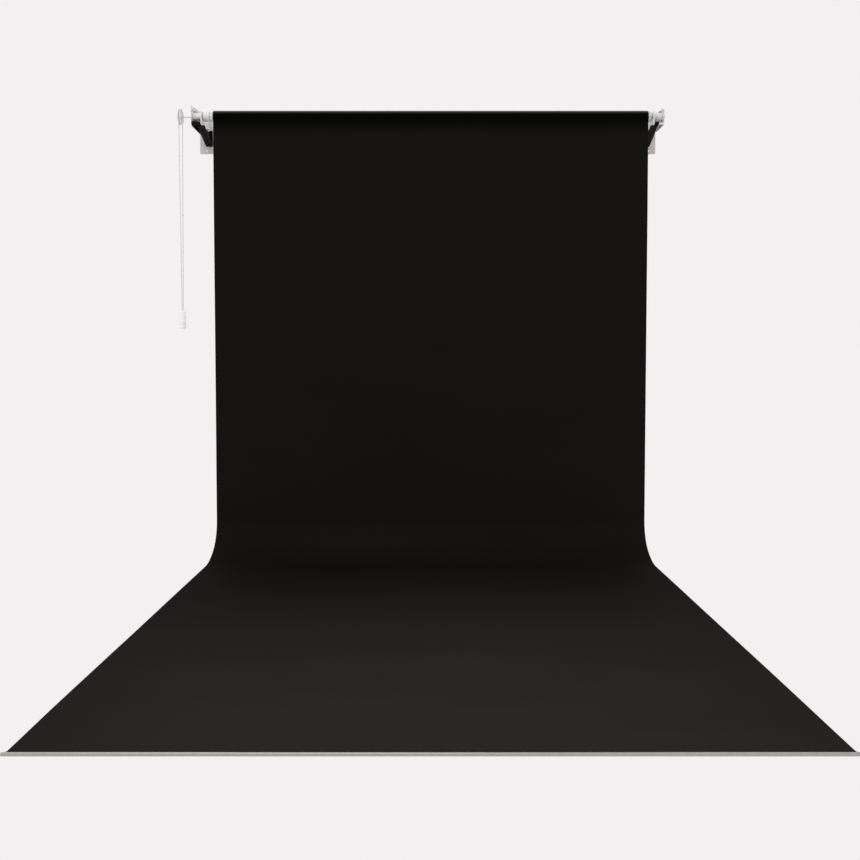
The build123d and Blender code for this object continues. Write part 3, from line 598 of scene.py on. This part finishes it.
def make_chain():
    """The free part of the bead chain: two runs from the sprocket to the tunnel in the weight."""
    lean_cos, lean_sin = math.cos(CHAIN_LEAN), math.sin(CHAIN_LEAN)
    front = (AXIS_Y - CHAIN_R * lean_cos, AXIS_Z - CHAIN_R * lean_sin)
    wall = (AXIS_Y + CHAIN_R * lean_cos, AXIS_Z - CHAIN_R * lean_sin)
    end = CHAIN_END_R
    near = 0.036  # how far above the tunnel the last straight point is

    def on_run(top, t):
        """A point on a run, t of the way down to the tunnel."""
        low_y = AXIS_Y + math.copysign(end, top[0] - AXIS_Y)
        return (CHAIN_X, top[0] + (low_y - top[0]) * t, top[1] + (TUNNEL_Z - top[1]) * t)

    low = 1 - near / CHAIN_DROP
    steps = (0.0, 0.25, 0.5, 0.75, low)
    route = [on_run(front, t) for t in steps]
    route += [
        (CHAIN_X, AXIS_Y - end, TUNNEL_Z + end),
        (CHAIN_X, AXIS_Y - end, TUNNEL_Z - end),
        (CHAIN_X, AXIS_Y + end, TUNNEL_Z - end),
        (CHAIN_X, AXIS_Y + end, TUNNEL_Z + end),
    ]
    route += [on_run(wall, t) for t in reversed(steps)]
    line = nurbs_points("chain_route", route)
    length = sum((b - a).length for a, b in zip(line, line[1:]))
    count = round(length / BEAD_PITCH)
    verts, faces = [], []
    add_beads(even_points(line, length / count), verts, faces, length / count)
    chain = add_mesh("bead_chain", verts, faces, "bead_plastic", "chain", angle=60)
    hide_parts("pull_chain")


def make_chain_on_wheel():
    """The beads that lie in the sprocket's pockets, from one run over the top to the other."""
    pocket = 2 * math.pi / SPROCKET_BEADS
    span = math.pi + 2 * CHAIN_LEAN
    wrapped = int(span / pocket)
    first = (span - wrapped * pocket) / 2 - CHAIN_LEAN
    places = []
    for i in range(wrapped + 1):
        a = first + i * pocket
        point = Vector((CHAIN_X, AXIS_Y + CHAIN_R * math.cos(a), AXIS_Z + CHAIN_R * math.sin(a)))
        places.append((point, Vector((0, -math.sin(a), math.cos(a)))))
    verts, faces = [], []
    add_beads(places, verts, faces, BEAD_PITCH * 0.96)
    wrap = add_mesh("bead_chain_on_wheel", verts, faces, "bead_plastic", "chain", angle=60)
    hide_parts("pull_chain_on_wheel")


# Each band's height as a share of the weight's, its half width, and how far it stands out.
WEIGHT_BANDS = ((0.22, 0.002, 0.0006), (0.30, 0.002, 0.0006), (0.38, 0.002, 0.0006), (0.7, 0.0006, 0.0003))


def make_weight_bands():
    """Three raised bands round the weight, for the fingers, and the seam between its two halves."""
    low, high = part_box("chain_weight")
    radius = (high.x - low.x) / 2
    middle = Vector(((low.x + high.x) / 2, (low.y + high.y) / 2, 0))
    verts, faces = [], []
    for share, half, proud in WEIGHT_BANDS:
        centre = middle + Vector((0, 0, low.z + (high.z - low.z) * share))
        inside = radius - 0.0005
        profile = [
            (-half, inside),
            (half, inside),
            (half, radius),
            (half * 0.6, radius + proud),
            (-half * 0.6, radius + proud),
            (-half, radius),
        ]
        ring_verts, ring_faces = lathe(profile, centre, (0, 0, 1))
        faces += [tuple(v + len(verts) for v in face) for face in ring_faces]
        verts += ring_verts
    add_mesh("chain_weight_bands", verts, faces, "weight_plastic", "chain")


# ---- Stage --------------------------------------------------------------------------------------

BACKGROUND = (0.905, 0.871, 0.880)
EYE = Vector((0.0147, -6.2269, FLOOR_Z + 1.26))
PITCH_DOWN = 0.0435  # radians below level
FOCAL_WIDTHS = 1.10465  # the focal length over the picture's width
SENSOR = 36.0
SHIFT_Y = -0.0361


def make_camera():
    """The camera, about 6 m in front of the hanging paper and aimed a little down."""
    camera = bpy.data.cameras.new("camera")
    camera.sensor_width = SENSOR
    camera.lens = FOCAL_WIDTHS * SENSOR
    camera.shift_y = SHIFT_Y
    camera.clip_start, camera.clip_end = 0.05, 200
    obj = bpy.data.objects.new("camera", camera)
    obj.location = EYE
    obj.rotation_euler = (math.pi / 2 - PITCH_DOWN, 0, 0)
    bpy.context.scene.collection.objects.link(obj)
    bpy.context.scene.camera = obj


def add_light(name, kind, place, target, power, only_on=(), **settings):
    """A lamp aimed at target. only_on names the pieces that it lights, where it doesn't light them all."""
    lamp = bpy.data.lights.new(name, kind)
    lamp.energy = power
    for key, value in settings.items():
        setattr(lamp, key, value)
    obj = bpy.data.objects.new(name, lamp)
    obj.location = place
    obj.rotation_euler = (Vector(target) - Vector(place)).to_track_quat("-Z", "Y").to_euler()
    bpy.context.scene.collection.objects.link(obj)
    if only_on:
        lit = bpy.data.collections.new(name + "_pieces")
        for piece in only_on:
            lit.objects.link(piece)
        obj.light_linking.receiver_collection = lit


def make_light(paper):
    """An even pale room, a soft pool on the near end of the paper, and a bank that shapes the brackets."""
    world = bpy.data.worlds.new("studio")
    world.use_nodes = True
    shade = world.node_tree.nodes["Background"]
    shade.inputs["Color"].default_value = (*BACKGROUND, 1)
    shade.inputs["Strength"].default_value = 1.0
    bpy.context.scene.world = world
    pool = (PAPER_MID, -2.9, FLOOR_Z)
    add_light(
        "pool", "SPOT", (PAPER_MID, -3.6, FLOOR_Z + 3.6), pool, 960, only_on=[paper],
        color=(1.0, 0.97, 0.88), spot_size=math.radians(62), spot_blend=1.0, shadow_soft_size=0.5,
    )
    add_light(
        "front_fill", "AREA", (PAPER_MID, -5.5, FLOOR_Z + 0.7), (PAPER_MID, -0.2, FLOOR_Z + 1.0), 66,
        only_on=[paper], shape="RECTANGLE", size=4.0, size_y=0.8,
    )
    others = [n for n in NODES.values() if not n.name.startswith("paper")]
    add_light(
        "top_bank", "AREA", (PAPER_MID - 1.5, -3.0, AXIS_Z + 2.5), (PAPER_MID, 0, AXIS_Z), 60,
        only_on=others, shape="RECTANGLE", size=4.0, size_y=1.0,
    )


# ---- The scene ----------------------------------------------------------------------------------

dress_nodes()
make_camera()
make_chain()
make_chain_on_wheel()
make_weight_bands()
make_light(make_paper())
bpy.context.scene.view_settings.view_transform = "Standard"
